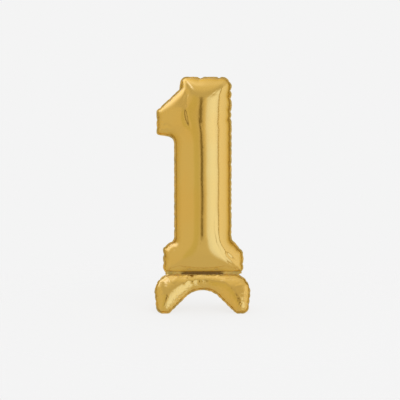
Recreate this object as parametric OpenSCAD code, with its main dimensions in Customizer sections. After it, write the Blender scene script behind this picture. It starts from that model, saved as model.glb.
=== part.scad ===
// Self-standing foil number balloon: an inflated digit "1" on a two-lobed inflated base.
// Every chamber is two foil sheets welded around their edge; the lobes splay about the waist weld.
// The front of the digit faces -Y, +Z is up, and the feet rest on Z = 0.

/* [Digit] */
// Height from the floor to the top edge of the digit
total_h = 640; // [625:1:660]
// Width of the inflated stem between its side welds
stem_w = 150; // [144:1:156]
// Distance of the flag's cut end from the middle of the balloon
flag_reach = 122; // [112:1:128]
// Height of the flag's cut end
flag_end_h = 61; // [50:1:66]
// Drop from the top edge to the upper corner of the flag's cut end
flag_drop = 90; // [80:1:100]
// Width of the foot slab between its side welds
slab_w = 214; // [206:1:218]
// Height of the foot slab's outer ends
slab_h = 64; // [56:1:70]

/* [Base] */
// Height of the lobes' hinge lines above the floor
waist_z = 98; // [97:0.5:99]
// Angle of each lobe from the upright
splay = 32; // [31:0.5:33]
// Width of a lobe between the outer welds of its legs
base_w = 254; // [248:1:258]
// Radius of a lobe's outer curve, from the waist round to its leg
shoulder_r = 46; // [44:1:48]
// Radius of each round foot
foot_r = 20; // [19:0.5:21]
// Distance from the hinge line to the crown of the arch between the feet
arch_v = 44; // [43:0.5:46]
// Radius of the top of the arch, whose sides run straight down to the feet
arch_r = 64.5; // [63:0.5:66]

/* [Foil] */
// Wall that stands for the thin foil
foil_t = 0.8; // [0.6:0.1:1]
// Width of the welded margin outside a chamber
margin = 4.5; // [3:0.5:5]
// Thickness of a welded margin, where two sheets are fused
weld_t = 0.8; // [0.6:0.1:1]

/* [Inlets] */
// Width of the foil tab that leads a straw into a chamber
tab_w = 26; // [22:1:30]
// Length of that tab
tab_l = 44; // [38:1:48]
// Width of the film sleeve inside a chamber, which seals itself
sleeve_w = 20; // [16:1:22]
// Length of the digit's film sleeve
digit_sleeve_l = 92; // [70:1:110]
// Length of the base's film sleeve
base_sleeve_l = 64; // [50:1:66]

/* [Hidden] */

gold = [0.80, 0.63, 0.27];
weld_gold = [0.70, 0.54, 0.22];
film_clear = [0.85, 0.88, 0.88, 0.6];

half_weld = weld_t / 2;
weld_lap = 1; // how far a margin reaches under the foil inside its weld line
row_step = 17; // longest step along the digit's welds

// Digit
digit_z0 = waist_z + 7;
digit_z1 = total_h - margin;
stem_x = 1; // the stem stands a little right of the base's middle
slab_x = 2;
stem_l = stem_x - stem_w / 2;
stem_r = stem_x + stem_w / 2;
slab_l = slab_x - slab_w / 2;
slab_r = slab_x + slab_w / 2;
slab_z1 = digit_z0 + slab_h;
flag_z1 = digit_z1 - flag_drop;
flag_z0 = flag_z1 - flag_end_h;
digit_columns = 14;

// Lobes
hinge_y = 1.5;
lobe_v0 = 5.5; // weld line under the hinge line, measured down the lobe
lobe_tube_r = 25;
shoulder_x = base_w / 2 - shoulder_r;
shoulder_v = lobe_v0 + shoulder_r;
foot_x = 102;
foot_v1 = (waist_z - 2.5) / cos(splay); // the foot's end is flat, just above the floor
foot_v = foot_v1 - 19;
// Angle past its widest point at which the outer curve runs straight on into the round foot.
foot_turn = atan2(foot_v - shoulder_v, foot_x - shoulder_x)
    - acos((shoulder_r - foot_r) / norm([foot_x - shoulder_x, foot_v - shoulder_v]));
foot_cut = acos((foot_v1 - foot_v) / foot_r);
arch_sweep = 46; // degrees of the round on each side of the arch's crown
lobe_rows = 18;
lobe_columns = 8;
closing = 4; // how far a lobe may close, in degrees

// Waist
waist_w = 116;
waist_vent = 8; // gaps in the waist weld that let air pass between the lobes
waist_vent_x = 37;

// Inlets
digit_tab_x = -34;
base_tab_x = 34;
tab_tilt = 10;
tab_t = 0.6;
tab_y = 1.7;
tab_z = waist_z + 3.5;
film_t = 0.4;
film_gap = 0.1;
base_sleeve_turn = 60;

// ---- plane geometry ----

function unit(v) = v / norm(v);

function arc(c, r, a0, a1, steps) =
    [for (i = [0 : steps]) let (a = a0 + (a1 - a0) * i / steps) c + r * [cos(a), sin(a)]];

// Points along the round of radius r at corner p, on the way from a to b.
function fillet(a, p, b, r) =
    let (u = unit(a - p), w = unit(b - p), half = acos(u * w) / 2,
        c = p + unit(u + w) * r / sin(half),
        from = p + u * r / tan(half) - c, to = p + w * r / tan(half) - c,
        a0 = atan2(from.y, from.x), turn = atan2(to.y, to.x) - a0)
    arc(c, r, a0, a0 + (turn > 180 ? turn - 360 : turn < -180 ? turn + 360 : turn), r < 8 ? 2 : 4);

// A polyline through corners [x, y, radius], rounded at every corner but its two ends.
function rounded(corners) = [
    for (i = [0 : len(corners) - 1])
        let (c = corners[i], a = corners[max(i - 1, 0)], b = corners[min(i + 1, len(corners) - 1)])
        each (c.z == 0 ? [[c.x, c.y]] : fillet([a.x, a.y], [c.x, c.y], [b.x, b.y], c.z))];

function but_last(line) = [for (i = [0 : len(line) - 2]) line[i]];

// Running length at each point of a polyline.
function lengths(line, i = 0, sum = 0) =
    i == len(line) - 1 ? [sum] : concat([sum], lengths(line, i + 1, sum + norm(line[i + 1] - line[i])));

// The same polyline with points added, so that no step is longer than the one given.
function stepped(line, step) = concat([line[0]],
    [for (i = [1 : len(line) - 1])
        let (a = line[i - 1], b = line[i], n = ceil(norm(b - a) / step))
        each [for (k = [1 : n]) a + (b - a) * k / n]]);

// The point at a share s of a polyline's length.
function along(line, s) =
    let (at = lengths(line), want = s * at[len(at) - 1])
    [lookup(want, [for (i = [0 : len(line) - 1]) [at[i], line[i].x]]),
     lookup(want, [for (i = [0 : len(line) - 1]) [at[i], line[i].y]])];

// Points from a to b, closer together near both ends, as on a round section seen from the front.
function across(a, b, n) = [for (j = [0 : n]) a + (b - a) * (1 - cos(180 * j / n)) / 2];

// A counter-clockwise outline moved outwards by m, with mitred corners.
function grown(outline, m) = [
    for (i = [0 : len(outline) - 1])
        let (n = len(outline), p = outline[i],
            e0 = unit(p - outline[(i + n - 1) % n]), e1 = unit(outline[(i + 1) % n] - p),
            n0 = [e0.y, -e0.x], n1 = [e1.y, -e1.x])
        p + m * (n0 + n1) / (1 + n0 * n1)];

function smooth(t) = let (c = max(0, min(1, t))) c * c * (3 - 2 * c);

// How strongly the weld between a and b holds the sheet down at p: the integral of 1 / distance squared.
function hold(p, a, b) =
    let (u = a - p, w = b - p, area = abs(u.x * w.y - u.y * w.x), gap = area / norm(b - a))
    gap < 0.01 ? norm(b - a) / (norm(u) * norm(w)) : atan2(area, u * w) * PI / 180 / gap;

// Depth of p inside an outline. Between two long parallel welds it gives a round tube; corners come out smooth.
function depth(p, outline) =
    let (n = len(outline), holds = [for (i = [0 : n - 1]) hold(p, outline[i], outline[(i + 1) % n])])
    PI / (holds * [for (h = holds) 1]);

// ---- inflated sheets ----

// Grid of [x, y, depth] from a grid of [x, y]; its rim is the weld line, at depth 0.
function with_depth(net, outline) =
    let (m = len(net) - 1, n = len(net[0]) - 1)
    [for (i = [0 : m]) [for (j = [0 : n])
        let (p = net[i][j]) [p.x, p.y, i == 0 || j == 0 || i == m || j == n ? 0 : depth(p, outline)]]];

// Height of a sheet at a depth, for a tube of radius r whose wall lies inset from the outside.
function rise(d, r, inset) = sqrt(2 * r * max(d - inset, 0));

// A closed shell between two grids of points that share their rim.
module shell(outer, inner) {
    m = len(outer) - 1;
    n = len(outer[0]) - 1;
    function on_rim(i, j) = i == 0 || j == 0 || i == m || j == n;
    function out_id(i, j) = i * (n + 1) + j;
    function in_id(i, j) = on_rim(i, j) ? out_id(i, j) : (m + 1) * (n + 1) + (i - 1) * (n - 1) + j - 1;
    // Two triangles of a cell, split along the diagonal that points to the nearest corner of the grid.
    function cell(a, b, c, d, turned) = turned ? [[a, b, d], [b, c, d]] : [[a, b, c], [a, c, d]];
    points = concat([for (row = outer) each row], [for (i = [1 : m - 1]) for (j = [1 : n - 1]) inner[i][j]]);
    faces = [for (i = [0 : m - 1]) for (j = [0 : n - 1])
        let (turned = (i < m / 2) != (j < n / 2)) each concat(
            cell(out_id(i, j), out_id(i, j + 1), out_id(i + 1, j + 1), out_id(i + 1, j), turned),
            [for (t = cell(in_id(i, j), in_id(i, j + 1), in_id(i + 1, j + 1), in_id(i + 1, j), turned))
                [t[2], t[1], t[0]]])];
    polyhedron(points, faces, convexity = 8);
}

// A flat margin along an outline, from just inside its weld line to its cut edge.
module weld_ring(outline) {
    difference() {
        translate([0, 0, -half_weld]) linear_extrude(weld_t) polygon(grown(outline, margin));
        translate([0, 0, -weld_t]) linear_extrude(2 * weld_t) polygon(grown(outline, -weld_lap));
    }
}

// ---- digit ----

// Both sides end where the round of their top corner meets the top edge.
digit_left = stepped(but_last(rounded([[slab_l + 5, digit_z0, 0], [slab_l, digit_z0 + 10, 6], [slab_l, slab_z1, 4],
    [stem_l, slab_z1 + 25, 12], [stem_l, flag_z0 - 6, 24], [-flag_reach, flag_z0, 4], [-flag_reach, flag_z1, 4],
    [-60, digit_z1 - 33, 12], [-55, digit_z1, 13], [0, digit_z1, 0]])), row_step);
digit_right = but_last(rounded([[slab_r - 3, digit_z0, 0], [slab_r, digit_z0 + 8, 6], [slab_r, slab_z1 - 12, 12],
    [stem_r, slab_z1 + 25, 14], [stem_r, digit_z1, 24], [0, digit_z1, 0]]));

// Rows of points from the left weld to the right one, each at the same share of both welds' lengths.
digit_net = let (at = lengths(digit_left), whole = at[len(at) - 1])
    [for (i = [0 : len(digit_left) - 1]) across(digit_left[i], along(digit_right, at[i] / whole), digit_columns)];

// Counter-clockwise rim of a grid whose rows run from left to right and whose row numbers grow upwards.
function rim(net) =
    let (m = len(net) - 1, n = len(net[0]) - 1)
    concat([for (j = [0 : n]) net[0][j]], [for (i = [1 : m]) net[i][n]],
        [for (j = [n - 1 : -1 : 0]) net[m][j]], [for (i = [m - 1 : -1 : 1]) net[i][0]]);

// Radius of the inflated tube at a place: full in the stem, smaller out in the flag and the slab's ends.
function digit_tube_r(x, z) =
    let (out = smooth((abs(x - stem_x) - 0.35 * stem_w) / 70),
        in_slab = 1 - smooth((z - slab_z1) / 40),
        in_flag = x < 0 ? smooth((z - flag_z0 + 30) / 30) * (1 - smooth((z - flag_z1 - 10) / 50)) : 0)
    stem_w / 2 * (1 - 0.5 * out * max(in_slab, in_flag));

// One sheet of the digit; way is -1 for the front and 1 for the rear.
module digit_foil(way) {
    net = with_depth(digit_net, rim(digit_net));
    function grid(inset) = [for (row = net) [for (i = [0 : digit_columns])
        let (p = row[way < 0 ? i : digit_columns - i])
        [p.x, way * (half_weld + rise(p.z, digit_tube_r(p.x, p.y), inset)), p.y]]];
    color(gold) shell(grid(0), grid(foil_t));
}

module digit_front_foil() {
    digit_foil(-1);
}

module digit_rear_foil() {
    digit_foil(1);
}

module digit_edge_weld() {
    color(weld_gold) rotate([90, 0, 0]) weld_ring(rim(digit_net));
}

// Fused strip under the digit, in three lengths with two air gaps between them.
module waist_weld() {
    z0 = waist_z - 0.4;
    h = digit_z0 - margin - z0;
    inner = waist_vent_x - waist_vent / 2;
    outer = waist_vent_x + waist_vent / 2;
    color(weld_gold) {
        translate([-inner, -weld_t, z0]) cube([2 * inner, 2 * weld_t, h]);
        for (side = [0, 1]) mirror([side, 0, 0]) translate([outer, -weld_t, z0])
            cube([waist_w / 2 - outer, 2 * weld_t, h]);
    }
}

// ---- valves and inlet tabs ----

// Film strip with a round inner end, lying along +Y from the origin.
module film(length) {
    linear_extrude(film_t) {
        translate([-sleeve_w / 2, 0]) square([sleeve_w, length - sleeve_w / 2]);
        translate([0, length - sleeve_w / 2]) circle(sleeve_w / 2, $fn = 48);
    }
}

module digit_film(way) {
    side = way > 0 ? film_gap / 2 : -film_gap / 2 - film_t;
    color(film_clear) translate([digit_tab_x, 0, digit_z0 + weld_lap]) rotate([90, 0, 0])
        translate([0, 0, side]) film(digit_sleeve_l);
}

module digit_valve_front_film() {
    digit_film(1);
}

module digit_valve_rear_film() {
    digit_film(-1);
}

// Flat foil tab that leaves the waist backwards, with rounded outer corners and a raised straw channel.
module inlet_tab(x) {
    corner_r = 6;
    channel_w = 14;
    color(gold) translate([x, tab_y, tab_z]) rotate([tab_tilt, 0, 0]) {
        linear_extrude(tab_t) {
            translate([-tab_w / 2, 0]) square([tab_w, tab_l - corner_r]);
            translate([-tab_w / 2 + corner_r, 0]) square([tab_w - 2 * corner_r, tab_l]);
            for (side = [-1, 1]) translate([side * (tab_w / 2 - corner_r), tab_l - corner_r])
                circle(corner_r, $fn = 48);
        }
        translate([-channel_w / 2, 0, tab_t]) cube([channel_w, tab_l - 2, tab_t / 2]);
    }
}

module digit_inlet_tab() {
    inlet_tab(digit_tab_x);
}

module base_inlet_tab() {
    inlet_tab(base_tab_x);
}

// ---- lobes ----
// A lobe is drawn flat in [x, v], where v runs from its hinge line down to its feet.

arch_side = concat(arc([0, arch_v + arch_r], arch_r, -90, -90 + arch_sweep, 8),
    arc([foot_x, foot_v], foot_r, 90 + arch_sweep, 90 + foot_cut, 3));
outer_side = concat([[0, lobe_v0]], arc([shoulder_x, shoulder_v], shoulder_r, -90, foot_turn, 15),
    arc([foot_x, foot_v], foot_r, foot_turn + 8, 90 - foot_cut, 3));

// Rows of [x, v] points across the whole lobe, from the left foot over the crown to the right foot.
lobe_net = [for (k = [-lobe_rows : lobe_rows])
    let (s = abs(k) / lobe_rows, row = across(along(outer_side, s), along(arch_side, s), lobe_columns))
    k < 0 ? [for (p = row) [-p.x, p.y]] : row];

// Room on a lobe's inner side, at v down the lobe, before it meets its twin or the floor.
function inner_room(v, inset) =
    min(v * tan(splay - closing - 2), (waist_z - v * cos(splay)) / sin(splay)) - half_weld - 1.2 * inset;

// A point of the front lobe from x, v and n, the height above the lobe's flat sheet on its outer side.
function lobe_point(x, v, n) =
    [x, -hinge_y - v * sin(splay) - n * cos(splay), waist_z - v * cos(splay) + n * sin(splay)];

module lobe_foil(inside) {
    net = with_depth(lobe_net, rim(lobe_net));
    function height(p, inset) =
        let (h = rise(p.z, lobe_tube_r, inset))
        inside ? -half_weld - max(0, min(h, inner_room(p.y, inset))) : half_weld + h;
    function grid(inset) = [for (row = net) [for (j = [0 : lobe_columns])
        let (p = row[inside ? j : lobe_columns - j]) lobe_point(p.x, p.y, height(p, inset))]];
    color(gold) shell(grid(0), grid(foil_t));
}

// Places a drawing made in [x, -v] on the front lobe's plane, its outer side up.
module on_lobe() {
    translate([0, -hinge_y, waist_z]) rotate([90 - splay, 0, 0]) children();
}

module lobe_edge_weld() {
    color(weld_gold) difference() {
        on_lobe() weld_ring([for (p = rim(lobe_net)) [p.x, -p.y]]);
        translate([-base_w, -base_w, -base_w]) cube([2 * base_w, 2 * base_w, base_w]);
    }
}

module front_lobe_outer_foil() {
    lobe_foil(false);
}

module front_lobe_inner_foil() {
    lobe_foil(true);
}

module front_lobe_edge_weld() {
    lobe_edge_weld();
}

module rear_lobe_outer_foil() {
    mirror([0, 1, 0]) lobe_foil(false);
}

module rear_lobe_inner_foil() {
    mirror([0, 1, 0]) lobe_foil(true);
}

module rear_lobe_edge_weld() {
    mirror([0, 1, 0]) lobe_edge_weld();
}

module base_film(way) {
    side = way > 0 ? film_gap / 2 : -film_gap / 2 - film_t;
    color(film_clear) mirror([0, 1, 0]) on_lobe() translate([base_tab_x - 8, -lobe_v0 - 20, side])
        rotate([0, 0, 180 + base_sleeve_turn]) film(base_sleeve_l);
}

module base_valve_outer_film() {
    base_film(1);
}

module base_valve_inner_film() {
    base_film(-1);
}

digit_front_foil();
digit_rear_foil();
digit_edge_weld();
waist_weld();
digit_valve_front_film();
digit_valve_rear_film();
digit_inlet_tab();
base_inlet_tab();
front_lobe_outer_foil();
front_lobe_inner_foil();
front_lobe_edge_weld();
rear_lobe_outer_foil();
rear_lobe_inner_foil();
rear_lobe_edge_weld();
base_valve_outer_film();
base_valve_inner_film();
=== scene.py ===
# %% [markdown]
# A self-standing foil number balloon: a tall digit "1" on a base of two arched lobes.
# Everything is a flat chamber of two gold foil sheets, welded around the edge and blown up,
# so the whole scene is about one question: what does a flat sheet do when air pushes it out?
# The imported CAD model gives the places, sizes and moving bodies. Blender gives the real skin.

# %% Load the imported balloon
import math

import bpy
import numpy as np
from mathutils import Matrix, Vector


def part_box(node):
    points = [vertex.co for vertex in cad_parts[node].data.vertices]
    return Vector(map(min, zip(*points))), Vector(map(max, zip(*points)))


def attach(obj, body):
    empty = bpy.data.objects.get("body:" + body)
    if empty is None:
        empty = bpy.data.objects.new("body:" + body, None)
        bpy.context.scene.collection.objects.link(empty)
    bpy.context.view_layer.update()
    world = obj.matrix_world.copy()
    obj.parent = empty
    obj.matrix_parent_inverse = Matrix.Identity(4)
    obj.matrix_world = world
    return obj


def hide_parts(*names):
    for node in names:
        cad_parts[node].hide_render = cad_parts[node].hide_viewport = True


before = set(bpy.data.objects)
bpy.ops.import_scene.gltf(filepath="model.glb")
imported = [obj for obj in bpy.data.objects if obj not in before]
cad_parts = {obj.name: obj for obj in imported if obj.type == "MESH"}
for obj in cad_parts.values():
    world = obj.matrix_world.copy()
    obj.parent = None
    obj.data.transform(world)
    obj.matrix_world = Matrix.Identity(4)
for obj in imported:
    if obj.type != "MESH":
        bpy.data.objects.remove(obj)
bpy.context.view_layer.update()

MM = 0.001

# %% [markdown]
# The balloon's cut is a handful of lengths. They are the CAD model's own driving lengths, in
# millimetres. The digit's lowest and highest edge are read from the imported weld edge and
# printed.

# %% Lengths of the cut
total_h = 640
stem_w = 150
flag_reach = 122
flag_end_h = 61
flag_drop = 90
slab_w = 214
slab_h = 64
waist_z = 98
splay = math.radians(32)
base_w = 254
shoulder_r = 46
foot_r = 20
arch_v = 44
arch_r = 64.5
margin = 4.5

stem_x = 1
slab_x = 2
digit_z0 = waist_z + 7
digit_z1 = total_h - margin
stem_l = stem_x - stem_w / 2
stem_r = stem_x + stem_w / 2
slab_l = slab_x - slab_w / 2
slab_r = slab_x + slab_w / 2
slab_z1 = digit_z0 + slab_h
flag_z1 = digit_z1 - flag_drop
flag_z0 = flag_z1 - flag_end_h
hinge_y = 1.5
lobe_v0 = 5.5
lobe_tube_r = 25
waist_w = 116
tab_w = 26
tab_l = 44
tab_tilt = math.radians(10)
tab_y = 1.7
tab_z = waist_z + 3.5
TAB_LIFT = math.radians(6)
TAB_SPARE = 1.8
edge_low, edge_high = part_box("digit_edge_weld")
print("digit from", round(edge_low.z / MM, 1), "to", round(edge_high.z / MM, 1), "mm")

# %% [markdown]
# The camera stands two metres in front, a little above the middle of the digit, and looks down
# by two and a half degrees. A long lens keeps the stem's two sides nearly parallel.

# %% Camera
CAMERA_PLACE = (-0.0069, -2.0, 0.3885)
LOOK_DOWN = 2.46
LENS = 65.45

scene = bpy.context.scene
camera_data = bpy.data.cameras.new("camera")
camera_data.lens = LENS
camera_data.sensor_width = 36
camera = bpy.data.objects.new("camera", camera_data)
scene.collection.objects.link(camera)
camera.location = CAMERA_PLACE
camera.rotation_euler = (math.radians(90 - LOOK_DOWN), 0, 0)
scene.camera = camera
scene.view_settings.view_transform = "Standard"
print("camera at", tuple(round(v, 3) for v in camera.location))

# %% [markdown]
# Shader maths reads best as Python. Value wraps a node's output socket, and each operator adds
# one Math node. Nodes.put adds any other kind of node: its settings first, then its sockets.

# %% Sockets that take part in arithmetic
class Value:
    def __init__(self, nodes, socket):
        self.nodes = nodes
        self.socket = socket

    def math(self, operation, first, second=0.0):
        return self.nodes.put("ShaderNodeMath", {0: first, 1: second}, operation=operation)

    def __add__(self, other):
        return self.math("ADD", self, other)

    def __radd__(self, other):
        return self.math("ADD", other, self)

    def __sub__(self, other):
        return self.math("SUBTRACT", self, other)

    def __rsub__(self, other):
        return self.math("SUBTRACT", other, self)

    def __mul__(self, other):
        return self.math("MULTIPLY", self, other)

    def __rmul__(self, other):
        return self.math("MULTIPLY", other, self)

    def __truediv__(self, other):
        return self.math("DIVIDE", self, other)

    def least(self, other):
        return self.math("MINIMUM", self, other)

    def most(self, other):
        return self.math("MAXIMUM", self, other)


class Nodes:
    def __init__(self, owner):
        owner.use_nodes = True
        self.tree = owner.node_tree
        self.tree.nodes.clear()

    def put(self, kind, values=None, out=0, stops=None, **settings):
        node = self.tree.nodes.new(kind)
        for name, setting in settings.items():
            setattr(node, name, setting)
        if stops:
            elements = node.color_ramp.elements
            elements[0].position = stops[0][0]
            elements.remove(elements[1])
            for place, _ in stops[1:]:
                elements.new(place)
            for element, (_, colour) in zip(elements, stops):
                element.color = (*colour, 1)
        for name, value in (values or {}).items():
            if isinstance(value, Value):
                self.tree.links.new(value.socket, node.inputs[name])
            else:
                node.inputs[name].default_value = value
        return Value(self, node.outputs[out]) if node.outputs else None

    def mix(self, factor, first, second):
        values = {0: factor, 6: first, 7: second}
        return self.put("ShaderNodeMix", values, out=2, data_type="RGBA")

    def step(self, value, start, end):
        """Rises smoothly from 0 at start to 1 at end."""
        values = {"Value": value, "From Min": start, "From Max": end}
        return self.put("ShaderNodeMapRange", values, interpolation_type="SMOOTHSTEP")

    def noise(self, place, scale, detail):
        values = {"Vector": place, "Scale": scale, "Detail": detail}
        return self.put("ShaderNodeTexNoise", values)


print("shader helpers ready")

# %% [markdown]
# Gold foil is a mirror, so it shows the studio more than it shows itself. The studio is a ring
# of soft white panels with narrow gaps. A gap just left of the lens draws the dark line down the
# stem, the brightest panel stands to the right, and a second gap gives the thin line beside it.
# The ring is painted on the world by compass direction, which costs nothing and has no edges.
# Over it go even tones above and below, a table edge low in front, a bluish skylight behind, and
# two brighter patches up on the left, for the flag's slope and the digit's top corner.
# Only mirror rays see the studio. All others see the plain white backdrop.

# %% Studio ring
def tone(level):
    return (level, level, level, 1)


def compass(degrees):
    """Place on the ring's ramp of a compass angle: 0 towards the lens, 90 to the right."""
    return (degrees + 180) / 360


BACKDROP = 0.905
HIGH_LIGHT = 0.59
TOP_LIGHT = 0.76
TABLE_GLOW = 0.66
FLOOR_GLOW = 0.64
SKYLIGHT = (1.0, 1.05, 1.4, 1)
BRIM_LIGHT = (1.2, 1.4, 2.9, 1)

world = bpy.data.worlds.new("studio")
scene.world = world
sky = Nodes(world)
direction = sky.put("ShaderNodeTexCoord", out="Generated")
axes = {"Vector": direction}
east = sky.put("ShaderNodeSeparateXYZ", axes, out=0)
back = sky.put("ShaderNodeSeparateXYZ", axes, out=1)
up = sky.put("ShaderNodeSeparateXYZ", axes, out=2)
turn = east.math("ARCTAN2", east, 0 - back) / math.tau + 0.5
WARM = (1.0, 0.84, 0.40)
DULL = (1.0, 1.0, 0.76)
PLAIN = (1.0, 0.98, 0.92)
FRESH = (1.0, 1.07, 1.4)
COOL = (0.95, 1.13, 1.9)
panels = [(-180, 0.50, PLAIN), (-168, 0.36, WARM), (-152, 0.34, WARM), (-140, 0.60, PLAIN),
          (-100, 0.70, PLAIN), (-44, 0.70, PLAIN), (-36, 0.63, DULL), (-20, 0.61, DULL),
          (-12, 0.68, PLAIN), (-6.5, 0.20, WARM), (-1.5, 0.12, WARM), (2, 0.54, PLAIN),
          (12, 0.74, PLAIN), (22, 0.92, COOL), (36, 1.02, COOL), (50, 1.05, COOL),
          (68, 0.98, COOL), (70.5, 0.40, WARM), (73, 0.44, WARM), (76, 0.92, FRESH),
          (112, 0.84, FRESH), (132, 0.70, PLAIN), (146, 0.32, WARM), (166, 0.28, WARM),
          (180, 0.50, PLAIN)]
stops = [(compass(a), tuple(level * part for part in tint)) for a, level, tint in panels]
ring = sky.put("ShaderNodeValToRGB", {"Fac": turn}, stops=stops)
down = 0 - up
west = 0 - east
table = sky.step(down, 0.11, 0.15) * (1 - sky.step(east.math("ABSOLUTE", east), 0.2, 0.4))
ceiling = sky.mix(sky.step(up, 0.70, 0.98), tone(HIGH_LIGHT), tone(TOP_LIGHT))
leftward = sky.step(west, -0.1, 0.15) * 0.7 + 0.3
behind = back + east.least(0.0) * 0.5
overhead = sky.step(up, 0.3, 0.5) * sky.step(behind, -0.3, 0.1) * leftward
brim = sky.step(up, 0.2, 0.4) * sky.step(back, 0.3, 0.6) * sky.step(west, 0.15, 0.4)
corner = sky.step(up, 0.80, 0.90) * sky.step(west, 0.26, 0.42)
lit = sky.mix(table, ring, tone(TABLE_GLOW))
lit = sky.mix(sky.step(up + east * 0.06, 0.44, 0.62), lit, ceiling)
lit = sky.mix(overhead, lit, SKYLIGHT)
lit = sky.mix(brim.most(corner), lit, BRIM_LIGHT)
lit = sky.mix(sky.step(down, 0.3, 0.8), lit, tone(FLOOR_GLOW))
glossy = sky.put("ShaderNodeLightPath", out="Is Glossy Ray")
seen = sky.mix(glossy, tone(BACKDROP), lit)
shade = sky.put("ShaderNodeBackground", {"Color": seen, "Strength": 1.0})
sky.put("ShaderNodeOutputWorld", {"Surface": shade})
print("studio ring of", len(panels), "stops")

# %% [markdown]
# The floor is pale and matt. It only needs to catch a faint shadow near the feet, so it mostly
# glows like the backdrop and fades into it instead of ending at a line. The foil doesn't see the
# floor, only the studio.
# A large lamp over the right shoulder gives that shadow. It is kept out of the reflections,
# because the ring already holds every panel that the foil should show.

# %% Floor and lamp
def face_sheet(name, points, faces):
    mesh = bpy.data.meshes.new(name)
    mesh.from_pydata([tuple(p) for p in points], [], [tuple(f) for f in faces])
    mesh.update()
    piece = bpy.data.objects.new(name, mesh)
    scene.collection.objects.link(piece)
    return piece


FLOOR_SIZE = 2.0
FLOOR_FADE = (0.35, 1.1)
FLOOR_OWN_GLOW = 0.86
LAMP_PLACE = (0.7, -0.9, 2.2)
LAMP_SIZE = 1.2
LAMP_POWER = 9

corners = [(-FLOOR_SIZE, -FLOOR_SIZE, 0), (FLOOR_SIZE, -FLOOR_SIZE, 0),
           (FLOOR_SIZE, FLOOR_SIZE, 0), (-FLOOR_SIZE, FLOOR_SIZE, 0)]
floor = face_sheet("floor", corners, [(0, 1, 2, 3)])
paint = Nodes(bpy.data.materials.new("floor_paint"))
place = paint.put("ShaderNodeTexCoord", out="Object")
reach = paint.put("ShaderNodeVectorMath", {0: place}, out="Value", operation="LENGTH")
fade = paint.step(reach, *FLOOR_FADE)
matt = paint.put("ShaderNodeBsdfPrincipled",
                 {"Base Color": tone(0.9), "Roughness": 0.9, "Specular IOR Level": 0.0})
clear = paint.put("ShaderNodeBsdfTransparent", {"Color": tone(1)})
glow = paint.put("ShaderNodeEmission", {"Color": tone(BACKDROP)})
near = paint.put("ShaderNodeMixShader", {0: FLOOR_OWN_GLOW, 1: matt, 2: glow})
whole = paint.put("ShaderNodeMixShader", {0: fade, 1: near, 2: clear})
paint.put("ShaderNodeOutputMaterial", {"Surface": whole})
floor.data.materials.append(bpy.data.materials["floor_paint"])
floor.visible_glossy = False

lamp_data = bpy.data.lights.new("shoulder_lamp", "AREA")
lamp_data.shape = "DISK"
lamp_data.size = LAMP_SIZE
lamp_data.energy = LAMP_POWER
lamp = bpy.data.objects.new("shoulder_lamp", lamp_data)
scene.collection.objects.link(lamp)
lamp.location = LAMP_PLACE
aim = Vector((0, 0, 0.1)) - lamp.location
lamp.rotation_euler = aim.to_track_quat("-Z", "Y").to_euler()
lamp.visible_glossy = False
print("floor and lamp set")

# %% [markdown]
# Plane geometry for the cuts. A cut is a line of corners, each with its own rounding, turned
# into short even steps. The lines are the weld lines, seen flat from the front.

# %% Weld lines
def unit(v):
    return v / np.linalg.norm(v, axis=-1, keepdims=True)


def arc(centre, radius, start, end, steps):
    angle = np.radians(np.linspace(start, end, steps + 1))
    return np.add(centre, radius * np.stack([np.cos(angle), np.sin(angle)], -1))


def fillet(a, p, b, radius, step):
    u = unit(a - p)
    w = unit(b - p)
    half = math.acos(np.dot(u, w)) / 2
    centre = p + unit(u + w) * radius / math.sin(half)
    ends = [p + way * radius / math.tan(half) - centre for way in (u, w)]
    start, end = [math.degrees(math.atan2(e[1], e[0])) for e in ends]
    swing = (end - start + 180) % 360 - 180
    steps = max(3, round(math.radians(abs(swing)) * radius / step))
    return arc(centre, radius, start, start + swing, steps)


def rounded(cut, step):
    """Points along corners (across, up, radius); a radius of 0 keeps the corner."""
    line = []
    for i, (x, z, radius) in enumerate(cut):
        p = np.array([x, z], float)
        if radius == 0:
            line.append(p[None])
        else:
            line.append(fillet(np.array(cut[i - 1][:2]), p, np.array(cut[i + 1][:2]), radius, step))
    return np.concatenate(line)


def lengths(line):
    return np.concatenate([[0], np.cumsum(np.linalg.norm(np.diff(line, axis=0), axis=1))])


def stepped(line, step):
    out = [line[:1]]
    for a, b in zip(line[:-1], line[1:]):
        count = max(1, math.ceil(np.linalg.norm(b - a) / step))
        out.append(a + (b - a) * np.arange(1, count + 1)[:, None] / count)
    return np.concatenate(out)


def along(line, share):
    at = lengths(line)
    want = np.asarray(share) * at[-1]
    return np.stack([np.interp(want, at, line[:, k]) for k in (0, 1)], -1)


def net_between(side, other, columns):
    """Rows of points from one weld line to another, closer together near both."""
    share = (1 - np.cos(np.pi * np.arange(columns + 1) / columns)) / 2
    return side[:, None] + (other - side)[:, None] * share[None, :, None]


STEP = 5.0
DIGIT_COLUMNS = 54
digit_left = [(slab_l + 5, digit_z0, 0), (slab_l, digit_z0 + 10, 6), (slab_l, slab_z1, 4),
              (stem_l, slab_z1 + 25, 12), (stem_l, flag_z0 - 6, 24), (-flag_reach, flag_z0, 4),
              (-flag_reach, flag_z1, 4), (-60, digit_z1 - 33, 12), (-55, digit_z1, 13),
              (0, digit_z1, 0)]
digit_right = [(slab_r - 3, digit_z0, 0), (slab_r, digit_z0 + 8, 6), (slab_r, slab_z1 - 12, 12),
               (stem_r, slab_z1 + 25, 14), (stem_r, digit_z1, 24), (0, digit_z1, 0)]
left = stepped(rounded(digit_left, STEP)[:-1], STEP)
right = rounded(digit_right, STEP)[:-1]
share = lengths(left) / lengths(left)[-1]
digit_net = net_between(left, along(right, share), DIGIT_COLUMNS)

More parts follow.
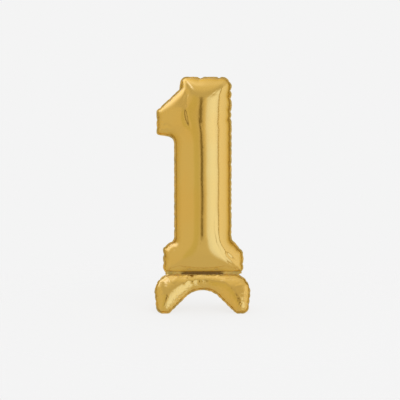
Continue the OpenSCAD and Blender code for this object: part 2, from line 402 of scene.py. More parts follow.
shoulder_x = base_w / 2 - shoulder_r
shoulder_v = lobe_v0 + shoulder_r
FOOT_TO_END = 19
FOOT_CLEAR = 2.5
foot_x = 102
foot_v1 = (waist_z - FOOT_CLEAR) / math.cos(splay)
foot_v = foot_v1 - FOOT_TO_END
to_foot = (foot_x - shoulder_x, foot_v - shoulder_v)
foot_turn = math.degrees(math.atan2(to_foot[1], to_foot[0])
                         - math.acos((shoulder_r - foot_r) / math.hypot(*to_foot)))
foot_cut = math.degrees(math.acos((foot_v1 - foot_v) / foot_r))
ARCH_SWEEP = 46
arch_side = np.concatenate([arc((0, arch_v + arch_r), arch_r, -90, -90 + ARCH_SWEEP, 12),
                            arc((foot_x, foot_v), foot_r, 90 + ARCH_SWEEP, 90 + foot_cut, 5)])
outer_side = np.concatenate([[[0, lobe_v0]],
                             arc((shoulder_x, shoulder_v), shoulder_r, -90, foot_turn, 30),
                             arc((foot_x, foot_v), foot_r, foot_turn + 8, 90 - foot_cut, 5)])
LOBE_ROWS = 38
LOBE_COLUMNS = 18
share = np.abs(np.arange(-LOBE_ROWS, LOBE_ROWS + 1)) / LOBE_ROWS
lobe_net = net_between(along(outer_side, share), along(arch_side, share), LOBE_COLUMNS)
lobe_net[:LOBE_ROWS, :, 0] *= -1
print("digit net", digit_net.shape[:2], "lobe net", lobe_net.shape[:2])

# %% [markdown]
# How far does each point of a sheet rise? Two long parallel welds give a round tube, and near
# the end of the chamber every weld around holds the sheet down a little. Adding up the pull of
# the whole weld line gives a depth that is smooth everywhere, corners included.
# Finer nets come from a four-point rule, which passes through every point of the coarse one.

# %% Depth of a chamber
def rim_of(grid):
    """The closed rim of a grid, running left to right along its first row and on round."""
    return np.concatenate([grid[0], grid[1:, -1], grid[-1, -2::-1], grid[-2:0:-1, 0]])


def chunks(count, size=3000):
    return [slice(k, k + size) for k in range(0, count, size)]


def cross2(u, w):
    return u[..., 0] * w[..., 1] - u[..., 1] * w[..., 0]


def depth_in(net, outline=None):
    """Depth of each point of a net inside its own rim, or inside another outline."""
    rim = rim_of(net) if outline is None else outline
    after = np.roll(rim, -1, 0)
    span = np.linalg.norm(after - rim, axis=1)
    flat = net.reshape(-1, 2)
    pull = np.zeros(len(flat))
    for part in chunks(len(flat)):
        u = rim - flat[part, None]
        w = after - flat[part, None]
        area = np.abs(cross2(u, w))
        gap = np.maximum(area / span, 1e-6)
        pull[part] = (np.arctan2(area, (u * w).sum(-1)) / gap).sum(-1)
    depth = (math.pi / pull).reshape(net.shape[:2])
    depth[0] = depth[-1] = 0
    depth[:, 0] = depth[:, -1] = 0
    return depth


def finer(grid):
    """Doubles a grid both ways with the four-point rule."""
    for axis in (0, 1):
        g = np.moveaxis(grid, axis, 0)
        middle = (g[:-1] + g[1:]) / 2
        middle[1:-1] += (g[1:-2] + g[2:-1] - g[:-3] - g[3:]) / 16
        out = np.empty((2 * len(g) - 1,) + g.shape[1:])
        out[::2] = g
        out[1::2] = middle
        grid = np.moveaxis(out, 0, axis)
    return grid


def smooth(t):
    t = np.clip(t, 0, 1)
    return t * t * (3 - 2 * t)


def digit_tube_r(net):
    """Radius of the tube: full in the stem, smaller out in the flag and the slab's ears."""
    x, z = net[..., 0], net[..., 1]
    out = smooth((np.abs(x - stem_x) - 0.35 * stem_w) / 70)
    in_slab = 1 - smooth((z - slab_z1) / 40)
    in_flag = smooth((z - flag_z0 + 30) / 30) * (1 - smooth((z - flag_z1 - 10) / 50))
    return stem_w / 2 * (1 - 0.5 * out * np.maximum(in_slab, np.where(x < 0, in_flag, 0)))


def even_stem(net, rise):
    """Beside the flag the stem keeps the round that it has below, so the flag sits on it."""
    mirrored = right * [-1, 1] + [2 * stem_x, 0]
    alone = np.sqrt(stem_w * depth_in(net, np.concatenate([right, mirrored[::-1]])))
    share = smooth((net[..., 0] + 60) / 50) * smooth((net[..., 1] - slab_z1 - 60) / 60)
    return rise + share * (alone - rise)


def sheets(net, rise):
    """Front and rear sheet of a chamber as grids of [across, out, up]; they share their rim."""
    return [np.stack([net[..., 0], way * rise, net[..., 1]], -1) for way in (-1, 1)]


digit_rise = np.sqrt(2 * digit_tube_r(digit_net) * depth_in(digit_net))
digit_sheets = sheets(digit_net, even_stem(digit_net, digit_rise))
lobe_sheets = sheets(lobe_net, np.sqrt(2 * lobe_tube_r * depth_in(lobe_net)))
print("digit rises", round(digit_sheets[1][..., 1].max(), 1), "mm, lobe",
      round(lobe_sheets[1][..., 1].max(), 1), "mm")

# %% [markdown]
# Real foil doesn't stretch, so it keeps a little too much length beside its welds and settles
# in uneven soft waves. Blender's Cloth does that: both sheets start at their analytic height as
# one closed skin, with a seeded unevenness of a tenth of a millimetre, the rim is pinned, air
# presses from inside and a weight group lets the skin near the welds grow by a few percent.
# The pieces take six tenths of that settling, because all of it looks older than new foil.
# The simulation works ten times too large, because Cloth dislikes very small edges.

# %% Air in the chambers
CLOTH_SCALE = 10
FRAMES = 20
UNEVEN = 0.1
LOOSE_RISE = 35


def closed_skin(front, rear):
    """Points and faces of two sheets joined at their shared rim, and each grid's point numbers."""
    rows, columns = front.shape[:2]
    front_ids = np.arange(rows * columns).reshape(rows, columns)
    inside = np.zeros((rows, columns), bool)
    inside[1:-1, 1:-1] = True
    rear_ids = front_ids.copy()
    rear_ids[inside] = rows * columns + np.arange(inside.sum())
    points = np.concatenate([front.reshape(-1, 3), rear[inside]])
    return points, quads(front_ids), quads(rear_ids)[:, ::-1], front_ids, rear_ids


def quads(ids):
    return np.stack([ids[:-1, :-1], ids[:-1, 1:], ids[1:, 1:], ids[1:, :-1]], -1).reshape(-1, 4)


def closed_outwards(points, faces):
    """Faces of a closed skin, turned so that its volume counts as positive."""
    a, b, c, d = (points[faces[:, k]] for k in range(4))
    volume = (np.cross(b, c) * a).sum() + (np.cross(c, d) * a).sum()
    return faces if volume > 0 else faces[:, ::-1]


def weighted(piece, name, weights):
    group = piece.vertex_groups.new(name=name)
    for k, weight in enumerate(weights):
        if weight > 0.01:
            group.add([k], float(weight), "REPLACE")
    return group


def blown_up(name, front, rear, hold, growth, seed, trust):
    """Trust is the share of the way from the analytic sheet to the settled one.
    """
    points, front_faces, rear_faces, front_ids, rear_ids = closed_skin(front, rear)
    rise = np.abs(points[:, 1])
    rim = rise == 0
    rng = np.random.default_rng(seed)
    uneven = points.copy()
    uneven[:, 1] += np.where(rim, 0, rng.normal(0, UNEVEN, len(points)))
    faces = closed_outwards(points, np.concatenate([front_faces, rear_faces]))
    skin = face_sheet(name, uneven * MM * CLOTH_SCALE, faces)
    weighted(skin, "held", np.where(rim, hold, 0))
    weighted(skin, "loose", np.exp(-(rise / LOOSE_RISE) ** 2))
    cloth = skin.modifiers.new("air", "CLOTH")
    foil = cloth.settings
    foil.quality = 6
    foil.mass = 0.3
    foil.tension_stiffness = foil.compression_stiffness = 60
    foil.shear_stiffness = 30
    foil.bending_stiffness = 0.5
    foil.tension_damping = foil.compression_damping = foil.shear_damping = 5
    foil.air_damping = 3
    foil.use_pressure = True
    foil.uniform_pressure_force = 5
    foil.vertex_group_mass = "held"
    foil.vertex_group_shrink = "loose"
    foil.shrink_min = 0.0
    foil.shrink_max = -growth
    foil.effector_weights.gravity = 0
    cloth.collision_settings.use_collision = False
    cloth.point_cache.frame_start = 1
    cloth.point_cache.frame_end = FRAMES
    for step in range(1, FRAMES + 1):
        scene.frame_set(step)
    settled = skin.evaluated_get(bpy.context.evaluated_depsgraph_get()).data
    found = np.empty(len(points) * 3)
    settled.vertices.foreach_get("co", found)
    found = points + trust * (found.reshape(-1, 3) / MM / CLOTH_SCALE - points)
    bpy.data.objects.remove(skin)
    scene.frame_set(1)
    print(name, "moved up to", round(np.linalg.norm(found - points, axis=1).max(), 1), "mm")
    return found[front_ids], found[rear_ids]


digit_sheets = blown_up("digit_air", *digit_sheets, hold=0.8, growth=0.10, seed=7, trust=0.6)
lobe_sheets = blown_up("lobe_air", *lobe_sheets, hold=1.0, growth=0.08, seed=11, trust=0.6)

# %% [markdown]
# The fine gathers along a weld are only a few millimetres wide at their root, narrower than the
# cloth's cells, so they come after it, like the stitching on a cushion. Each is a sharp valley
# that starts at the weld, leans a little, widens and dies away. Where the weld line is straight
# they are faint; round the top, at the tips and on the slab's ears the foil bunches up.

# %% Gathers along the welds
def digit_gather(x, z):
    """Spacing, depth and reach of the gathers at a place on the digit's weld line, in mm."""
    if z > digit_z1 - 4 and abs(x) < 50:
        return 60, 1.0, 24
    if z > digit_z1 - 110 and x > 40:
        return 21, 4.2, 42
    if z < slab_z1 + 22 and abs(x - slab_x) > 84:
        return 22, 2.6, 34
    if z < digit_z0 + 4:
        return 24, 0.6, 26
    if x < -flag_reach + 4:
        return 17, 1.6, 20
    if z > flag_z0 - 4 and x < stem_l + 4:
        return 34, 1.2, 22
    return (20, 1.5, 26) if x > 0 else (34, 0.8, 16)


def lobe_gather(x, v):
    """The same for a lobe, whose outline is drawn as [across, down]."""
    if v < lobe_v0 + 3:
        return 24, 0.6, 20
    if v > foot_v:
        return 12, 1.0, 14
    outside = math.hypot(abs(x) - shoulder_x, v - shoulder_v) > shoulder_r - 2
    return (19, 2.2, 30) if outside and abs(x) > shoulder_x else (17, 1.0, 20)


digit_pinches = [(-6, digit_z1, 4.5, 30), (45, digit_z1, 3.0, 30), (70, 624, 2.5, 30),
                 (stem_r, 580, 3.6, 42), (stem_r, 544, 3.4, 36), (-112, 552, 1.5, 18)]


def gathers_on(rim, rule, pinches, seed):
    """Rows of [place along the rim, depth, reach, lean of the front, lean of the rear]."""
    rng = np.random.default_rng(seed)
    at = lengths(np.concatenate([rim, rim[:1]]))
    found = []
    for x, z, depth, reach in pinches:
        s = at[np.argmin(np.hypot(rim[:, 0] - x, rim[:, 1] - z))]
        found.append([s, depth, reach, 0.12, -0.1])
    taken = [row[0] for row in found]
    s = 4.0
    while s < at[-1] - 4:
        x, z = rim[np.searchsorted(at, s) % len(rim)]
        spacing, depth, reach = rule(x, z)
        row = [s, depth * rng.uniform(0.45, 1.25), reach * rng.uniform(0.6, 1.2),
               rng.uniform(-0.35, 0.35), rng.uniform(-0.35, 0.35)]
        if all(abs(s - other) > 0.4 * spacing for other in taken):
            found.append(row)
        s += spacing * rng.uniform(0.7, 1.3)
    return np.array(found), at[-1]


def nearest_on_rim(net):
    """For every point of a flat net, the place along the rim that lies nearest."""
    rim = rim_of(net)
    after = np.roll(rim, -1, 0)
    at = lengths(np.concatenate([rim, rim[:1]]))[:-1]
    edge = after - rim
    flat = net.reshape(-1, 2)
    place = np.empty(len(flat))
    for part in chunks(len(flat), 1500):
        away = flat[part, None] - rim
        t = np.clip((away * edge).sum(-1) / (edge ** 2).sum(-1), 0, 1)
        gap = np.linalg.norm(away - t[..., None] * edge, axis=-1)
        best = gap.argmin(1)
        row = np.arange(len(best))
        place[part] = at[best] + t[row, best] * np.linalg.norm(edge[best], axis=-1)
    return place.reshape(net.shape[:2])


ROOT_W = 2.6
WIDENING = 0.12
WIDTH_BY_DEPTH = 0.8
FOLD_ENDS = 3.3


def valleys(place, run, gathers, around, lean):
    """How deep the gathers cut at each point, in mm."""
    total = np.zeros(place.shape)
    for s, depth, reach, *leans in gathers:
        off = (place - s - leans[lean] * run + around / 2) % around - around / 2
        width = ROOT_W + WIDENING * run + depth * WIDTH_BY_DEPTH
        near = np.abs(off) < 4 * width
        here = depth * np.exp(-np.abs(off[near] / width[near]) ** 1.4)
        total[near] += here * np.exp(-(run[near] / reach) ** 1.6)
    return total


def folds(net, lines):
    """Long soft folds inside a sheet: each is (depth, half width, points it runs through)."""
    total = np.zeros(net.shape[:2])
    for depth, width, *stops in lines:
        stops = np.array(stops, float)
        start = stops[:-1]
        edge = stops[1:] - start
        away = net[..., None, :] - start
        t = np.clip((away * edge).sum(-1) / (edge ** 2).sum(-1), 0, 1)
        gap = np.linalg.norm(away - t[..., None] * edge, axis=-1)
        best = gap.argmin(-1)[..., None]
        at = lengths(stops)
        gone = at[:-1] + t * np.diff(at)
        gone = np.take_along_axis(gone, best, -1)[..., 0] / at[-1]
        taper = smooth(FOLD_ENDS * gone) * smooth(FOLD_ENDS * (1 - gone))
        total += depth * taper * np.exp(-(np.take_along_axis(gap, best, -1)[..., 0] / width) ** 2)
    return total


def outward(grid, way):
    """Unit normals of a sheet that faces way along the second axis."""
    normal = np.cross(np.gradient(grid, axis=1), np.gradient(grid, axis=0))
    size = np.linalg.norm(normal, axis=-1, keepdims=True)
    return -way * normal / np.maximum(size, 1e-9)


def rim_outward(net):
    """Flat unit normals around a closed rim, pointing out of the chamber."""
    rim = rim_of(net)
    edge = unit(np.roll(rim, -1, 0) - np.roll(rim, 1, 0))
    normal = np.stack([edge[:, 1], -edge[:, 0]], -1)
    turning = np.sign(cross2(rim, np.roll(rim, -1, 0)).sum())
    return normal * turning


def put_on_rim(grid, rim):
    """Writes a closed rim back onto a grid, in the order that rim_of reads it."""
    rows, columns = grid.shape[:2]
    a = columns
    b = a + rows - 1
    c = b + columns - 1
    grid[0] = rim[:a]
    grid[1:, -1] = rim[a:b]
    grid[-1, -2::-1] = rim[b:c]
    grid[-2:0:-1, 0] = rim[c:]


def gathered(net, pair, tube_r, rule, pinches, fold_lines, seed):
    """Fine front and rear grids with their gathers and folds, and each point's run of foil."""
    pair = [finer(grid) for grid in pair]
    net = finer(net)
    radius = tube_r(net) if callable(tube_r) else tube_r
    run = radius * np.arccos(np.clip(1 - depth_in(net) / radius, -1, 1))
    gathers, around = gathers_on(rim_of(net), rule, pinches, seed)
    place = nearest_on_rim(net)
    rim_place = rim_of(place)
    cut = valleys(rim_place, np.zeros(len(rim_place)), gathers, around, 0)
    out = rim_outward(net)
    shift = np.stack([-cut * out[:, 0], 0 * cut, -cut * out[:, 1]], -1)
    result = []
    for k, way in enumerate((-1, 1)):
        drop = valleys(place, run, gathers, around, k) + folds(net, fold_lines[k])
        grid = pair[k] - outward(pair[k], way) * (drop * smooth(run / 6 + 0.3))[..., None]
        put_on_rim(grid, rim_of(pair[k]) + shift)
        result.append(grid)
    print(len(gathers), "gathers around", round(around), "mm of weld")
    return net, result, run


digit_folds = [
    (3.4, 4, (-41, 602), (-46, 544)),
    (1.5, 3.4, (-46, 558), (-31, 486)),
    (0.7, 3, (33, 280), (34, 225), (40, 192), (60, 156)),
    (2.2, 4, (58, 170), (76, 150), (104, 128)),
    (1.2, 5, (46, 180), (58, 158), (92, 114)),
    (1.2, 5, (-74, 178), (-86, 160)),
    (3.4, 3.5, (-44, 118), (-28, 118)),
    (3.4, 3.5, (30, 118), (45, 118)),
    (3.2, 5, (-112, 499), (-98, 506), (-82, 495)),
]
digit_rear_folds = [(depth * 0.8, width * 1.2, *stops) for depth, width, *stops in digit_folds]
lobe_folds = [
    (2.0, 3, (-48, 15), (-33, 13)),
    (1.8, 3, (37, 13), (49, 15)),
    (1.2, 4, (-18, 11), (12, 11)),
    (1.2, 5, (0, 22), (-3, 42)),
    (1.6, 6, (-62, 16), (-84, 42)),
    (1.6, 6, (-38, 20), (-50, 48)),
    (1.2, 5, (-20, 18), (-27, 42)),
    (1.2, 7, (50, 22), (84, 60)),
]
digit_fine, digit_pair, digit_run = gathered(
    digit_net, digit_sheets, digit_tube_r, digit_gather, digit_pinches,
    [digit_folds, digit_rear_folds], seed=3)
lobe_fine, lobe_pair, lobe_run = gathered(
    lobe_net, lobe_sheets, lobe_tube_r, lobe_gather, [], [lobe_folds, []], seed=5)

# %% [markdown]
# The foil is a plastic film with metal on its inside and a clear gold lacquer over it, so it is
# a tinted mirror under a thin coat. Three things keep it from looking like polished brass: the
# skin drifts by a fraction of a millimetre over a few centimetres, it is crazed with fine
# creases where it bunches at a weld, and the lacquer looks deeper in the last few millimetres
# beside the weld, where the hot jaws have pressed it. Each point's run of foil from the nearest
# weld is stored on the mesh, and steers the last two. The fine creases are also painted a little
# darker, as painted shade. A second value, the waist shade, is high where the foil goes in at
# the waist and sees only more foil; there painted shade darkens the gold.

# %% Finishes
GOLD = (0.86, 0.545, 0.118, 1)
WARM_GOLD = (0.88, 0.53, 0.105, 1)
PRESSED_GOLD = (0.56, 0.37, 0.08, 1)
# Painted shade: the dark gold that the foil is given deep in the waist.
WAIST_SHADE_GOLD = (0.17, 0.075, 0.012, 1)
EDGE_GOLD = (0.95, 0.72, 0.30, 1)
PALE_FILM = (0.80, 0.83, 0.83, 1)


def foil_finish(name, drift_depth, crease_depth, roughness, press_width):
    """Gold foil; the depths are bump heights in metres and the width is in metres of foil."""
    material = bpy.data.materials.new(name)
    shader = Nodes(material)
    place = shader.put("ShaderNodeTexCoord", out="Object")
    run = shader.put("ShaderNodeAttribute", out="Fac", attribute_name="run")
    waist_shade = shader.put("ShaderNodeAttribute", out="Fac", attribute_name="waist_shade")
    pressed = 1 - shader.step(run, 0.0, press_width)
    bunched = 1 - shader.step(run, 0.0, 0.045)
    drift = shader.noise(place, 16, 1.0)
    cloudy = shader.noise(place, 7, 3.0)
    wander = shader.put("ShaderNodeVectorMath",
                        {0: place, 1: shader.noise(place, 30, 2.0) * 0.02}, operation="ADD")
    craze = shader.put("ShaderNodeTexVoronoi", {"Vector": wander, "Scale": 70},
                       out="Distance", feature="DISTANCE_TO_EDGE")
    crease = 1 - shader.step(craze, 0.0, 0.12)
    bumpy = shader.put("ShaderNodeBump", {"Height": drift, "Distance": drift_depth},
                       out="Normal")
    creased = shader.put("ShaderNodeBump", {"Height": crease * bunched * -1.0, "Normal": bumpy,
                                            "Distance": crease_depth}, out="Normal")
    colour = shader.mix(shader.step(cloudy, 0.35, 0.65), GOLD, WARM_GOLD)
    # The crease lines are also painted a little darker: painted shade in the creases, on top of
    # their bump.
    colour = shader.mix(pressed * 0.75 + crease * bunched * 0.1, colour, PRESSED_GOLD)
    # Painted shade: the foil darkens towards the waist shade gold where it goes in at the waist.
    colour = shader.mix(waist_shade * 0.5, colour, WAIST_SHADE_GOLD)
    rough = roughness + shader.step(cloudy, 0.3, 0.7) * 0.04 + pressed * 0.08
    surface = shader.put("ShaderNodeBsdfPrincipled", {
        "Base Color": colour, "Metallic": 1.0, "Roughness": rough, "Normal": creased,
        "Specular Tint": EDGE_GOLD, "Coat Weight": 0.25, "Coat Roughness": 0.08})
    shader.put("ShaderNodeOutputMaterial", {"Surface": surface})
    return material


def weld_finish(name):
    """Welded foil: the same gold, flattened and printed with the jaws' fine cross ribs."""
    material = bpy.data.materials.new(name)
    shader = Nodes(material)
    place = shader.put("ShaderNodeTexCoord", out="Object")
    along_rim = shader.put("ShaderNodeAttribute", out="Fac", attribute_name="along")
    across_rim = shader.put("ShaderNodeAttribute", out="Fac", attribute_name="across")
    rib = along_rim.math("SINE", along_rim * (math.tau / 0.0016))
    track = across_rim.math("SINE", across_rim * (math.tau / 0.0015))
    worn = shader.noise(place, 40, 3.0)
    height = rib * 0.5 + track * 0.5 + worn
    pattern = shader.put("ShaderNodeBump", {"Height": height, "Distance": 0.00012}, out="Normal")
    waist_shade = shader.put("ShaderNodeAttribute", out="Fac", attribute_name="waist_shade")
    colour = shader.mix(shader.step(worn, 0.3, 0.7), PRESSED_GOLD, WARM_GOLD)
    # Painted shade: the weld darkens strongly towards the waist shade gold at the waist.
    colour = shader.mix(waist_shade * 0.9, colour, WAIST_SHADE_GOLD)
    rough = 0.24 + worn * 0.16
    surface = shader.put("ShaderNodeBsdfPrincipled", {
        "Base Color": colour, "Metallic": 1.0, "Roughness": rough, "Normal": pattern,
        "Coat Weight": 0.3, "Coat Roughness": 0.15})
    shader.put("ShaderNodeOutputMaterial", {"Surface": surface})
    return material


def film_finish(name):
    """Milky valve film, a little cloudier in patches where it has been handled."""
    material = bpy.data.materials.new(name)
    shader = Nodes(material)
    place = shader.put("ShaderNodeTexCoord", out="Object")
    haze = shader.noise(place, 60, 4.0)
    ripple = shader.put("ShaderNodeBump", {"Height": shader.noise(place, 120, 2.0),
                                           "Distance": 0.0002}, out="Normal")
    colour = shader.mix(haze, PALE_FILM, tone(0.92))
    surface = shader.put("ShaderNodeBsdfPrincipled", {
        "Base Color": colour, "Roughness": 0.22 + haze * 0.2, "Normal": ripple,
        "Alpha": 0.45 + haze * 0.3})
    shader.put("ShaderNodeOutputMaterial", {"Surface": surface})
    return material


gold_foil = foil_finish("gold_foil", 0.0011, 0.0005, 0.13, 0.007)
tab_foil = foil_finish("inlet_tab_foil", 0.0004, 0.0006, 0.2, 0.003)
welded_edge = weld_finish("welded_foil_edge")
valve_film = film_finish("valve_film")
print("finishes:", [m.name for m in (gold_foil, tab_foil, welded_edge, valve_film)])

# %% [markdown]
# One function turns a grid of points into a named piece: it keeps the faces pointing outwards,
# stores the run of the foil and its painted waist shade for the finish, and ties the piece to its
# moving body, its material slot and the CAD solid that it stands for. Gold seen twice in gold
# turns orange, so the foils stay out of each other's mirror rays.

# %% Pieces from grids
def add_values(piece, name, values):
    layer = piece.data.attributes.new(name, "FLOAT", "POINT")
    layer.data.foreach_set("value", np.ravel(values))


def finished(piece, body, slot, material, *nodes):
    piece.data.materials.append(material)
    piece.data.polygons.foreach_set("use_smooth", [True] * len(piece.data.polygons))
    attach(piece, body)
    if nodes:
        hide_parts(*nodes)
    print(piece.name, "has", len(piece.data.polygons), "faces and rides on", body)
    return piece


def turned_out(points, faces, outwards):
    """The faces, reversed if most of them look away from a direction."""
    a, b, c, d = (points[faces[:, k]] for k in range(4))
    normals = np.cross(c - a, d - b)
    return faces if (normals @ np.array(outwards)).sum() > 0 else faces[:, ::-1]


def foil_piece(name, grid, run, outwards, body, waist_shade=0.0):
    points = grid.reshape(-1, 3) * MM
    ids = np.arange(len(points)).reshape(grid.shape[:2])
    piece = face_sheet(name, points, turned_out(points, quads(ids), outwards))
    add_values(piece, "run", run * MM)
    add_values(piece, "waist_shade", np.zeros(run.shape) + waist_shade)
    piece.visible_glossy = False
    return finished(piece, body, "gold_foil", gold_foil, name)


# Height, width and fade of the painted waist shade, in mm.
WAIST_SHADE_H = 11
WAIST_SHADE_REACH = 66
WAIST_SHADE_FADE = 20
TAB_SIDE = 25
OPEN_ROOM = 200


def waist_shade_at(across, height):
    """How much painted shade darkens the foil at the waist, from its height above the digit's weld
    line.
    """
    sideways = smooth((WAIST_SHADE_REACH - np.abs(across)) / WAIST_SHADE_FADE)
    return np.exp(-(np.maximum(height, 0) / WAIST_SHADE_H) ** 2) * sideways


def tab_room(x, z):
    """How far out the digit's rear foil may reach above the inlet tabs, lifted to their limit."""
    lifted = math.tan(tab_tilt + TAB_LIFT)
    beside = smooth((np.abs(x) - waist_w / 2) / TAB_SIDE)
    return np.maximum(tab_y + (z - tab_z - TAB_SPARE) / lifted, 0) + OPEN_ROOM * beside


digit_front, digit_rear = digit_pair
held_in = np.minimum(digit_rear[..., 1], tab_room(digit_rear[..., 0], digit_rear[..., 2]))
digit_rear[1:-1, 1:-1, 1] = held_in[1:-1, 1:-1]
# The digit's sheets get the painted waist shade low down in the middle.
digit_waist_shade = waist_shade_at(digit_fine[..., 0], digit_fine[..., 1] - digit_z0)
foil_piece("digit_front_foil", digit_front, digit_run, (0, -1, 0), "digit", digit_waist_shade)
foil_piece("digit_rear_foil", digit_rear, digit_run, (0, 1, 0), "digit", digit_waist_shade)

# %% [markdown]
# Outside the weld line both sheets lie flat on each other, pressed by the hot jaws into a strip
# four and a half millimetres wide. A ring follows the blown-up rim, so it bends and scallops
# with it, and its free edge flutters a little because the foil there has length to spare.
# Under the digit it is about twice as wide, and reaches down onto the waist.

# %% Welded margins
MARGIN_PROFILE = [(-0.8, 0.14), (0.3, 0.26), (0.9, 0.46), (1.6, 0.28), (2.4, 0.42), (3.4, 0.24),
                  (4.2, 0.3), (4.5, 0.1)]


def flutter(at, around, seed):
    """A seeded sum of whole waves round the rim, about one high."""
    rng = np.random.default_rng(seed)
    total = 0 * at
    for wave in (26, 17, 11.5):
        count = round(around / wave)
        total += np.sin(math.tau * count * at / around + rng.uniform(0, math.tau)) / 3
    return total * (1 + 0.6 * np.sin(math.tau * 3 * at / around + rng.uniform(0, math.tau)))


WAIST_HEM = 2.1


def margin_ring(rim, normals, seed, wider=1):
    """Points of a welded margin as a grid: round the rim, and round its own thin section."""
    at = lengths(np.concatenate([rim, rim[:1]]))
    around, at = at[-1], at[:-1]
    wave = flutter(at, around, seed)
    ragged = flutter(at, around, seed + 1)
    section = MARGIN_PROFILE + [(o, -y) for o, y in MARGIN_PROFILE[::-1]]
    rows = []
    for o, y in section:
        free = max(o, 0) / margin
        reach = (o - 0.35 * free * (1 + ragged)) * wider
        level = y + 0.7 * free ** 1.5 * wave
        rows.append(rim + np.stack([reach * normals[:, 0], level, reach * normals[:, 1]], -1))
    return np.stack(rows, 1), at, np.array([o for o, _ in section])


def ring_quads(rows, columns):
    ids = np.arange(rows * columns).reshape(rows, columns)
    ids = np.concatenate([ids, ids[:1]])
    return quads(np.concatenate([ids, ids[:, :1]], 1))


def smoothed(normals):
    for _ in range(3):
        normals = unit(normals + 0.5 * (np.roll(normals, 1, 0) + np.roll(normals, -1, 0)))
    return normals


def margin_piece(name, ring, at, offsets, body, waist_shade=0.0):
    points = ring.reshape(-1, 3) * MM
    faces = closed_outwards(points, ring_quads(*ring.shape[:2]))
    piece = face_sheet(name, points, faces)
    add_values(piece, "along", np.repeat(at[:, None], ring.shape[1], 1) * MM)
    add_values(piece, "across", np.repeat(offsets[None], ring.shape[0], 0) * MM)
    add_values(piece, "waist_shade", np.zeros(ring.shape[:2]) + waist_shade)
    return finished(piece, body, "welded_foil_edge", welded_edge, name)


digit_rim = rim_of(digit_front)
digit_normals = smoothed(rim_outward(digit_fine))
at_waist = (digit_rim[:, 2] < digit_z0 + 4) & (digit_normals[:, 1] < -0.9)
wider = np.where(at_waist, WAIST_HEM, 1)
digit_ring, digit_at, digit_offsets = margin_ring(digit_rim, digit_normals, 21, wider)
# The margin at the waist gets the painted waist shade too.
digit_ring_waist_shade = waist_shade_at(digit_ring[..., 0], digit_ring[..., 2] - digit_z0)
margin_piece("digit_edge_weld", digit_ring, digit_at, digit_offsets, "digit", digit_ring_waist_shade)

# %% [markdown]
# The two lobes are one cut, used twice. Each was blown up lying flat, in [across, out, down];
# it now swings about the waist to its splay. Its inner sheet would press into the twin lobe or
# the floor, so it is held back to the room that it has. The rear lobe is the front one turned
# half a turn about the upright, so their gathers don't mirror each other.

# %% Lobes of the base
CLOSING = math.radians(4)
PLAY = math.radians(2)
ROOM_SPARE = 1.4


def inner_room(v):
    """How far the inner sheet may stand out before it meets the closed twin or the floor."""
    twin = v * math.tan(splay - CLOSING - PLAY)
    ground = (waist_z - v * math.cos(splay)) / math.sin(splay)
    return np.maximum(np.minimum(twin, ground) - ROOM_SPARE, 0)


def on_front_lobe(flat):
    """Places points [across, out, down] of the flat lobe on the splayed front lobe."""
    x, out, v = np.moveaxis(flat, -1, 0)
    out = np.where(out > 0, np.minimum(out, inner_room(v)), out)
    y = -hinge_y - v * math.sin(splay) + out * math.cos(splay)
    z = waist_z - v * math.cos(splay) - out * math.sin(splay)
    return np.stack([x, y, np.maximum(z, 0)], -1)


HALF_TURN = np.array([-1, -1, 1])
lobe_rim = rim_of(lobe_pair[0])
lobe_ring, lobe_at, lobe_offsets = margin_ring(lobe_rim, smoothed(rim_outward(lobe_fine)), 31)
for side, way in (("front", np.array([1, 1, 1])), ("rear", HALF_TURN)):
    for sheet, grid, facing in (("outer", lobe_pair[0], -1), ("inner", lobe_pair[1], 1)):
        name = f"{side}_lobe_{sheet}_foil"
        outwards = (0, facing * way[1], -facing)
        placed = on_front_lobe(grid) * way
        foil_piece(name, placed, lobe_run, outwards, f"{side}_lobe")
    ring = on_front_lobe(lobe_ring) * way
    name = f"{side}_lobe_edge_weld"
    margin_piece(name, ring, lobe_at, lobe_offsets, f"{side}_lobe")

# %% [markdown]
# Under the digit both chambers' sheets are fused into one stiff strip, the waist. It is welded
# in three lengths, with two short gaps that let air pass between the lobes. The lobes hinge on
# it. Each length is a closed band with rounded ends and the same fine ribs as the margins.

# %% Waist
VENT = 8
VENT_X = 37
WAIST_T = 0.75


def waist_band(x0, x1, low, high, seed):
    """A thin upright band from x0 to x1 as a closed grid round its own section."""
    count = max(8, round((x1 - x0) / 1.5))
    x = np.linspace(x0, x1, count + 1)
    section = [(0.0, 0.5), (0.12, 1.0), (0.35, 0.8), (0.5, 1.0), (0.65, 0.8), (0.88, 1.0),
               (1.0, 0.5)]
    section = section + [(level, -thick) for level, thick in section[::-1]]
    wave = 0.12 * flutter(x - x0, x1 - x0 + 20, seed)
    end = np.sqrt(np.clip(1 - ((np.abs(x - (x0 + x1) / 2) / ((x1 - x0) / 2)) ** 24), 0.02, 1))
    rows = [np.stack([x, wave + WAIST_T * thick * end, low + (high - low) * level + 0 * x], -1)
            for level, thick in section]
    return np.stack(rows, 1)


waist_low, waist_high = (corner.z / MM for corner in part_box("waist_weld"))
inner_end = VENT_X - VENT / 2
outer_end = VENT_X + VENT / 2
points, faces, values = [], [], []
for k, (x0, x1) in enumerate([(-waist_w / 2, -outer_end), (-inner_end, inner_end),
                              (outer_end, waist_w / 2)]):
    band = waist_band(x0, x1, waist_low, waist_high + 0.6, 41 + k)
    rows, columns = band.shape[:2]
    start = sum(len(p) for p in points)
    ids = np.arange(rows * columns).reshape(rows, columns)
    skin = quads(np.concatenate([ids, ids[:, :1]], 1))
    flat = band.reshape(-1, 3) * MM
    skin = closed_outwards(flat, skin)
    ends = [list(ids[0]), list(ids[-1][::-1])]
    points.append(flat)
    faces += [tuple(f + start) for f in skin] + [tuple(i + start for i in end) for end in ends]
    values.append(band[..., 0].ravel() * MM)
waist = face_sheet("waist_weld", np.concatenate(points), faces)
add_values(waist, "along", np.concatenate(values))
add_values(waist, "across", np.concatenate([p[:, 2] for p in points]))
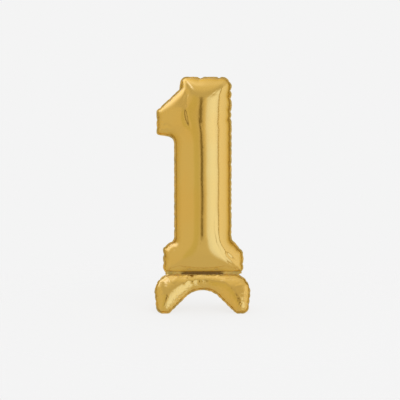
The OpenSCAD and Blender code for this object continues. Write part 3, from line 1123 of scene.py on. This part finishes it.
# The whole waist band gets full painted shade, so its weld finish is nearly the dark waist gold.
add_values(waist, "waist_shade", 1.0 + 0 * np.concatenate(values))
finished(waist, "digit", "welded_foil_edge", welded_edge, "waist_weld")

# %% [markdown]
# Behind the waist, two foil tabs lead a straw into the chambers. A tab is two plies welded down
# both sides, with the open channel left standing between them and round outer corners.

# %% Inlet tabs
TAB_CORNER = 6
CHANNEL_W = 14
TAB_ROWS = 61
TAB_COLUMNS = 41
TAB_PLY = 0.22
TAB_MIDDLE = 0.32
TAB_RIPPLE = 0.06


def tab_piece(name, tab_x, body, seed):
    length = np.linspace(0, tab_l, TAB_ROWS)
    corner = np.clip(length - (tab_l - TAB_CORNER), 0, TAB_CORNER)
    half = tab_w / 2 - TAB_CORNER + np.sqrt(np.maximum(TAB_CORNER ** 2 - corner ** 2, 0))
    share = np.sin(np.linspace(-math.pi / 2, math.pi / 2, TAB_COLUMNS))
    x = half[:, None] * share
    u = np.repeat(length[:, None], TAB_COLUMNS, 1)
    open_end = smooth((tab_l - 1 - u) / 4) * 0.5 + 0.5
    channel = np.sqrt(np.clip(1 - (x / (CHANNEL_W / 2)) ** 2, 0, 1)) * TAB_MIDDLE * open_end
    middle = TAB_MIDDLE + TAB_RIPPLE * np.sin(u * 0.9 + seed) * np.cos(x * 0.5 + seed)
    ply = TAB_PLY * np.sqrt(np.clip(1 - share ** 8, 0, 1)) * np.ones_like(u)
    ply[0] = ply[-1] = 0
    channel[0] = channel[-1] = 0
    tilt = np.array([math.cos(tab_tilt), math.sin(tab_tilt)])
    grids = []
    for height in (middle + ply + channel, middle - ply):
        y = tab_y + u * tilt[0] - height * tilt[1]
        z = tab_z + u * tilt[1] + height * tilt[0]
        grids.append(np.stack([tab_x + x, y, z], -1))
    flat, top, bottom, *_ = closed_skin(*grids)
    flat = flat * MM
    piece = face_sheet(name, flat, closed_outwards(flat, np.concatenate([top, bottom])))
    piece.visible_glossy = False
    run = np.minimum(half[:, None] - np.abs(x), tab_l - u)
    run = np.concatenate([run.ravel(), run[1:-1, 1:-1].ravel()])
    add_values(piece, "run", np.maximum(run, 0) * MM)
    return finished(piece, body, "inlet_tab_foil", tab_foil, name)


tab_piece("digit_inlet_tab", -34, "digit_tab", 1.0)
tab_piece("base_inlet_tab", 34, "base_tab", 2.5)

# %% [markdown]
# The straw pushes between two films that lie flat together inside each chamber; air closes them
# again. The CAD strips already have their true shape, so they only take the film finish.

# %% Valve films
for name in ("digit_valve_front_film", "digit_valve_rear_film",
             "base_valve_outer_film", "base_valve_inner_film"):
    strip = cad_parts[name]
    if not strip.material_slots:
        strip.data.materials.append(valve_film)
    for slot in strip.material_slots:
        slot.material = valve_film
print("four valve films keep their shape")
